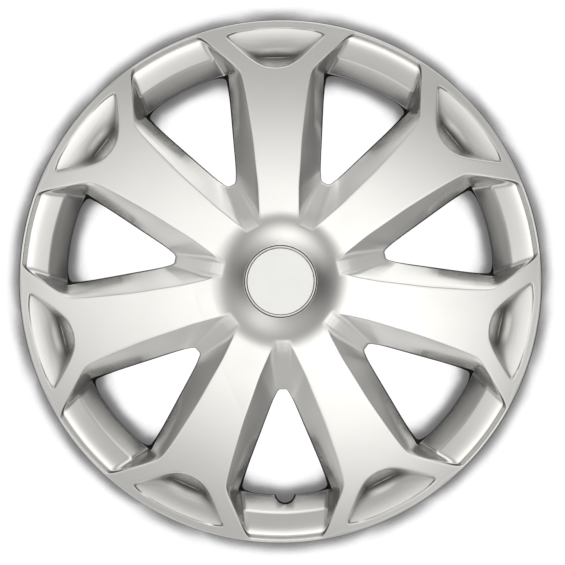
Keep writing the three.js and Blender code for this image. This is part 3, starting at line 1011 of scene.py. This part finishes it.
def add_clips():
    for number, angle in enumerate(FINGER_ANGLES, 1):
        clip = add_piece(f"clip_{number:02d}", clip_shape(angle), [STEEL], "cover")
        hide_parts(f"grip_clip_{number:02d}")


def add_others():
    wire = add_piece("wire_ring", wire_shape(), [ZINC], "ring")
    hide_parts("tension_ring")
    sleeve = add_piece("wire_sleeve", sleeve_shape(), [ZINC], "ring")
    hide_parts("ring_sleeve")
    cap = add_piece("hub_cap", cap_shape(), [PAINTED, MOULDED], "cap")
    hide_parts("centre_cap")
    plate = add_piece("badge_plate", disc_shape(BADGE_PROFILE), [PLATE], "cap")
    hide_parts("badge_disc")
    tape = add_piece("badge_tape", disc_shape(TAPE_PROFILE), [TAPE], "cap")
    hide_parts("badge_glue")


add_face()
add_clips()
add_others()


# ---- Stage, light and camera ------------------------------------------------------------------
SENSOR = 36
VIEW_END = 50
CAMERA_DISTANCE = 3.0
VIEW_WIDTH = 0.437
VIEW_ASIDE = 0.00147
VIEW_DOWN = 0.00085
VIEW_ROLL = math.radians(1.2)
RIM_PLANE = -0.011
SHEET_PLANE = 0.0225
SHEET_FOOT = -0.265
SHEET_SIDE = 1.1
SHEET_TOP = 0.9
# A painted shadow on the glowing backdrop sheet: its reach, its samples and how it leans.
PAINTED_SHADOW_REACH = 0.045
PAINTED_SHADOW_SAMPLES = 48
PAINTED_SHADOW_LEAN = (-0.3, -1, -0.3)
# The glowing sheet's painted shadow, as (how open the place is, colour).
PAINTED_SHADOW_TONES = [(0.6, (0.15, 0.148, 0.152)), (0.71, (0.25, 0.248, 0.252)), (0.76, (0.52, 0.518, 0.522)),
                (0.81, (0.93, 0.93, 0.93)), (0.86, (1.05, 1.05, 1.05))]
FLOOR_LEVEL = -0.32
FLOOR_SIDE = 8
PANEL_PLACE = (0.8, 2.2, 1.8)
PANEL_SIZE = (1.8, 1.2)
PANEL_POWER = 320


def add_camera():
    data = bpy.data.cameras.new("camera")
    data.sensor_width = SENSOR
    data.lens = SENSOR * CAMERA_DISTANCE / VIEW_WIDTH
    data.clip_end = VIEW_END
    camera = bpy.data.objects.new("camera", data)
    bpy.context.scene.collection.objects.link(camera)
    place = Matrix.Translation((VIEW_ASIDE, RIM_PLANE - CAMERA_DISTANCE, -VIEW_DOWN))
    roll = Matrix.Rotation(VIEW_ROLL, 4, "Y")
    camera.matrix_world = place @ roll @ Matrix.Rotation(math.pi / 2, 4, "X")
    bpy.context.scene.camera = camera


# Soft lights all round, as (angle off the cover's axis, direction round it from +X towards +Z,
# spread, brightness). The cover faces the first ones.
SOFT_LIGHTS = [
    (3, 0, 13, 0.85),
    (22, 350, 17, 1.1),
    (22, 172, 18, 1.1),
    (24, 300, 11, 0.5),
    (36, 262, 13, 0.12),
    (68, 88, 18, 1.3),
    (72, 60, 18, 0.95),
    (80, 243, 24, 1.15),
    (75, 300, 24, 0.45),
    (70, 32, 14, 0.4),
    (75, 118, 17, 0.4),
    (75, 142, 16, 0.22),
    (66, 192, 18, 0.24),
    (55, 350, 20, 0.05),
    (34, 170, 12, 0.15),
]
SURROUND = 0.09


def add_world():
    """The lights as soft spots on the sky, each a Gaussian round its own direction."""
    world = bpy.data.worlds.new("studio")
    world.use_nodes = True
    tree = world.node_tree
    place = tree.nodes.new("ShaderNodeTexCoord")

    def math_node(operation, *values):
        node = tree.nodes.new("ShaderNodeMath")
        node.operation = operation
        for socket, value in zip(node.inputs, values):
            if isinstance(value, (int, float)):
                socket.default_value = value
            else:
                tree.links.new(value, socket)
        return node.outputs["Value"]

    total = SURROUND
    for angle, round_axis, spread, brightness in SOFT_LIGHTS:
        tilt, turn = math.radians(angle), math.radians(round_axis)
        aim = tree.nodes.new("ShaderNodeVectorMath")
        aim.operation = "DOT_PRODUCT"
        tree.links.new(place.outputs["Generated"], aim.inputs[0])
        aim.inputs[1].default_value = (math.sin(tilt) * math.cos(turn), -math.cos(tilt),
                                       math.sin(tilt) * math.sin(turn))
        width = math.radians(spread) ** 2
        fall = math_node("MULTIPLY_ADD", aim.outputs["Value"], 1 / width, -1 / width)
        glow = math_node("MULTIPLY", math_node("EXPONENT", fall), brightness)
        total = math_node("ADD", glow, total)
    tree.nodes["Background"].inputs["Color"].default_value = (1, 1, 0.99, 1)
    tree.links.new(total, tree.nodes["Background"].inputs["Strength"])
    bpy.context.scene.world = world


def add_rear_panel():
    """A soft light for the back, aimed at the middle of the cover."""
    data = bpy.data.lights.new("rear_panel", "AREA")
    data.shape = "RECTANGLE"
    data.size, data.size_y = PANEL_SIZE
    data.energy = PANEL_POWER
    light = bpy.data.objects.new("rear_panel", data)
    bpy.context.scene.collection.objects.link(light)
    light.location = PANEL_PLACE
    light.rotation_euler = (-light.location).to_track_quat("-Z", "Y").to_euler()
    light.visible_glossy = False


def painted_shadow_sheet():
    """A glowing sheet with a painted shadow, darker where the cover stands close over it. Rear views
    see through it.
    """
    material = bpy.data.materials.new("painted_shadow_backdrop")
    material.use_nodes = True
    tree = material.node_tree
    tree.nodes.remove(tree.nodes["Principled BSDF"])
    near = tree.nodes.new("ShaderNodeAmbientOcclusion")
    near.samples = PAINTED_SHADOW_SAMPLES
    near.inputs["Distance"].default_value = PAINTED_SHADOW_REACH
    near.inputs["Normal"].default_value = Vector(PAINTED_SHADOW_LEAN).normalized()
    tone = tree.nodes.new("ShaderNodeValToRGB")
    stops = tone.color_ramp.elements
    stops[0].position, stops[0].color = PAINTED_SHADOW_TONES[0][0], (*PAINTED_SHADOW_TONES[0][1], 1)
    stops[1].position, stops[1].color = PAINTED_SHADOW_TONES[-1][0], (*PAINTED_SHADOW_TONES[-1][1], 1)
    for position, colour in PAINTED_SHADOW_TONES[1:-1]:
        stops.new(position).color = (*colour, 1)
    glow = tree.nodes.new("ShaderNodeEmission")
    clear = tree.nodes.new("ShaderNodeBsdfTransparent")
    side = tree.nodes.new("ShaderNodeNewGeometry")
    mix = tree.nodes.new("ShaderNodeMixShader")
    tree.links.new(near.outputs["AO"], tone.inputs["Fac"])
    tree.links.new(tone.outputs["Color"], glow.inputs["Color"])
    tree.links.new(side.outputs["Backfacing"], mix.inputs["Fac"])
    tree.links.new(glow.outputs["Emission"], mix.inputs[1])
    tree.links.new(clear.outputs["BSDF"], mix.inputs[2])
    tree.links.new(mix.outputs["Shader"], tree.nodes["Material Output"].inputs["Surface"])
    return material


def floor_material():
    look = Look("floor", (0.8, 0.8, 0.79), 0.7)
    look.vary_colour(look.noise(3, 2), 0.98, 1.0)
    return look.material


def rectangle(side, low, high):
    return [(-side, low), (side, low), (side, high), (-side, high)]


def add_flat(name, corners, material):
    mesh = bpy.data.meshes.new(name)
    mesh.from_pydata(corners, [], [(0, 1, 2, 3)])
    mesh.materials.append(material)
    flat = bpy.data.objects.new(name, mesh)
    bpy.context.scene.collection.objects.link(flat)
    return flat


add_camera()
# The backdrop sheet glows and carries a painted shadow; only the camera sees it, and it lights nothing.
sheet_corners = [(x, SHEET_PLANE, z) for x, z in rectangle(SHEET_SIDE, SHEET_FOOT, SHEET_TOP)]
sheet = add_flat("sheet", sheet_corners, painted_shadow_sheet())
for ray in ("diffuse", "glossy", "transmission", "shadow"):
    setattr(sheet, f"visible_{ray}", False)
floor_corners = [(x, y, FLOOR_LEVEL) for x, y in rectangle(FLOOR_SIDE, -FLOOR_SIDE, FLOOR_SIDE)]
floor = add_flat("floor", floor_corners, floor_material())
floor.visible_glossy = False
floor.visible_diffuse = False
add_world()
add_rear_panel()
bpy.context.scene.view_settings.view_transform = "Standard"
